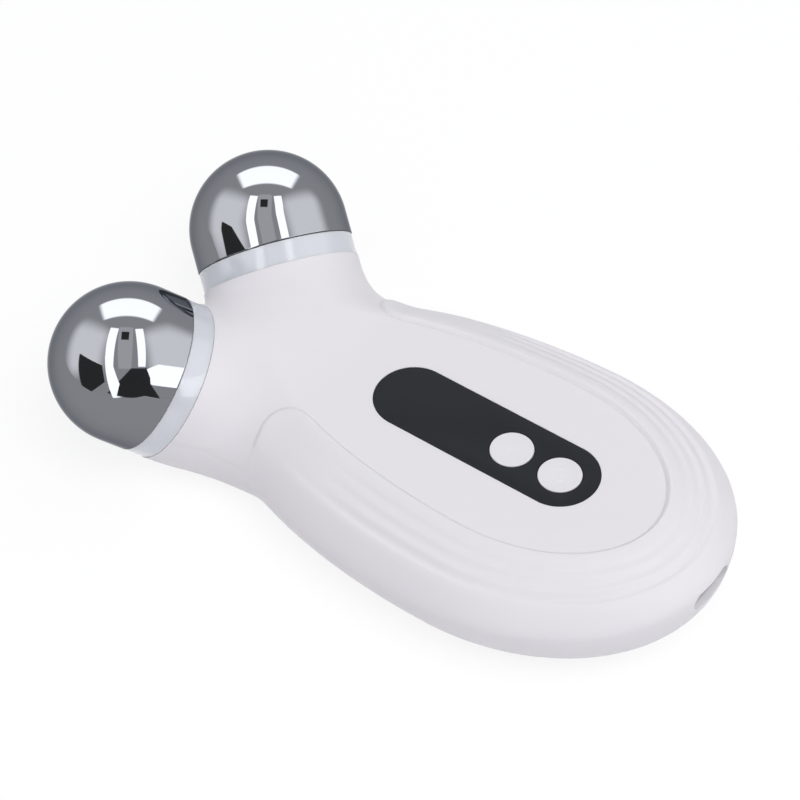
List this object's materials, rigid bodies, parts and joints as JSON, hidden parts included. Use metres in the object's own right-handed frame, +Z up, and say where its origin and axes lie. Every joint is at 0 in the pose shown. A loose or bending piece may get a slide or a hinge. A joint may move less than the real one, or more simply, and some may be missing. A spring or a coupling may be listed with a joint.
{
  "type": "facial toning device",
  "caption": "Handheld facial toning device: egg-shaped ridged body with push buttons in a dark pill panel, forked necks with frosted light rings and mirror-bright electrode domes.",
  "frame": {"origin": "on the flat rest face, under the middle of the widest line of the egg-shaped body", "axes": "+Z up out of the panel, +Y from the charging port to the domes, +X to the right seen from above with the domes away from the viewer"},
  "size_m": [0.0712, 0.1279, 0.0349],
  "materials": {
    "housing_white": "satin white with a faint lavender tint",
    "panel_charcoal": "matt charcoal",
    "adhesive": "translucent film",
    "dark_component": "black moulding",
    "button_white": "satin white",
    "board_green": "solder mask",
    "board_white": "white solder mask",
    "steel": "plain",
    "battery_pouch": "satin foil",
    "foam": "closed-cell foam",
    "connector_ivory": "natural nylon",
    "wire_red": "insulation",
    "wire_black": "insulation",
    "dome_chrome": "mirror",
    "ring_frosted": "translucent, frosted inside, glossy outside",
    "led_yellow": "phosphor",
    "brass": "plain"
  },
  "bodies": {
    "housing": {"rear_housing": "housing_white", "front_cover": "housing_white", "display_panel": "panel_charcoal", "panel_adhesive": "adhesive", "display_module": "dark_component", "power_switch": "dark_component", "level_switch": "dark_component", "main_pcb": "board_green", "controller_chip": "dark_component", "boost_inductor": "dark_component", "usb_c_socket": "steel", "usb_c_tongue": "dark_component", "battery": "battery_pouch", "battery_pad": "foam", "battery_connector": "connector_ivory", "battery_leads": "wire_red", "left_dome": "dome_chrome", "right_dome": "dome_chrome", "left_light_ring": "ring_frosted", "right_light_ring": "ring_frosted", "left_led_board": "board_white", "right_led_board": "board_white", "ring_leds": "led_yellow", "dome_screws": "steel", "electrode_terminals": "brass", "left_electrode_lead": "wire_black", "right_electrode_lead": "wire_red", "housing_screws": "steel"},
    "power_key": {"power_button": "button_white", "power_switch_plunger": "dark_component"},
    "level_key": {"level_button": "button_white", "level_switch_plunger": "dark_component"}
  },
  "joints": [
    {"name": "power_press", "type": "slide", "parent": "housing", "child": "power_key", "axis": [0, 0, -1], "range_m": [0, 0.0004], "stiffness_N_per_m": 4000, "springref_m": -0.0001},
    {"name": "level_press", "type": "slide", "parent": "housing", "child": "level_key", "axis": [0, 0, -1], "range_m": [0, 0.0004], "stiffness_N_per_m": 4000, "springref_m": -0.0001}
  ]
}
